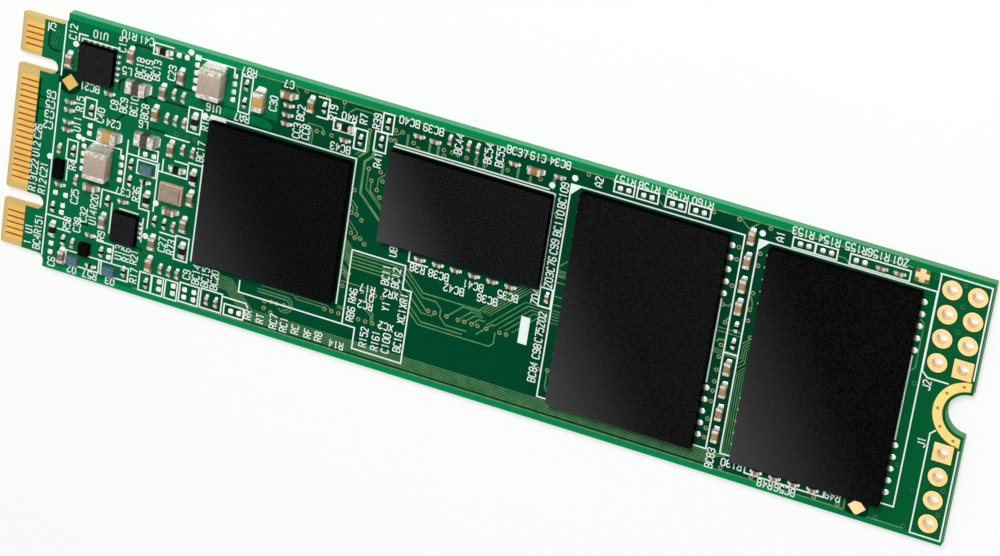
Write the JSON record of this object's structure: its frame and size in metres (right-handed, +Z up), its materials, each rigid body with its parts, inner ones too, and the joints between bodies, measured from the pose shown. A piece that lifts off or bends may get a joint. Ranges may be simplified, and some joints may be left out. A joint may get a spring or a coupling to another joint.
{
  "type": "gumstick solid state drive",
  "caption": "Long thin green circuit board drive with a keyed gold edge connector, a half round screw seat, and black memory and controller chips on its top face.",
  "frame": {"origin": "middle of the board's outline, on its bottom face", "axes": "+X along the board from the edge connector to the screw seat, +Y across the board, +Z up out of the component side"},
  "size_m": [0.08, 0.022, 0.0021],
  "materials": {
    "laminate": "bare glass fibre and resin edge",
    "solder_mask": "satin green lacquer",
    "gold_plating": "thin soft gold over nickel",
    "black_mould": "fine matt moulding compound",
    "grey_mould": "matt moulding compound, a little lighter",
    "blue_grey_mould": "satin moulding compound",
    "solder": "bright reflowed tin",
    "tan_ceramic": "satin fired ceramic",
    "orange_ceramic": "satin fired ceramic",
    "yellow_ceramic": "satin fired ceramic",
    "dark_ceramic": "satin ferrite",
    "choke_ceramic": "satin ferrite composite",
    "peach_ceramic": "gold edged ceramic base",
    "lid_metal": "brushed welded lid",
    "black_film": "printed resistor glaze",
    "print_white": "printed ink"
  },
  "bodies": {
    "root": {"circuit_board": "laminate", "solder_mask_top": "solder_mask", "solder_mask_bottom": "solder_mask", "contacts_top": "gold_plating", "contacts_bottom": "gold_plating", "screw_ring": "gold_plating", "long_header_eyelets": "gold_plating", "short_header_eyelets": "gold_plating", "fiducial_marks": "gold_plating", "controller_package": "black_mould", "controller_balls": "solder", "memory_package": "grey_mould", "memory_balls": "solder", "flash_package_1": "black_mould", "flash_package_2": "black_mould", "flash_balls_1": "solder", "flash_balls_2": "solder", "spare_ball_lands": "solder", "power_chip": "black_mould", "power_chip_leads": "solder", "switch_chip": "black_mould", "switch_chip_leads": "solder", "driver_chip": "black_mould", "supervisor_chip": "black_mould", "diodes": "blue_grey_mould", "crystal_base": "peach_ceramic", "crystal_lid": "lid_metal", "chokes": "choke_ceramic", "ferrite_beads": "dark_ceramic", "large_capacitors": "yellow_ceramic", "tan_capacitors": "tan_ceramic", "orange_capacitors": "orange_ceramic", "flash_capacitors": "tan_ceramic", "small_capacitors": "tan_ceramic", "medium_resistors": "black_film", "small_resistors": "black_film", "bare_pads": "solder"}
  },
  "joints": []
}
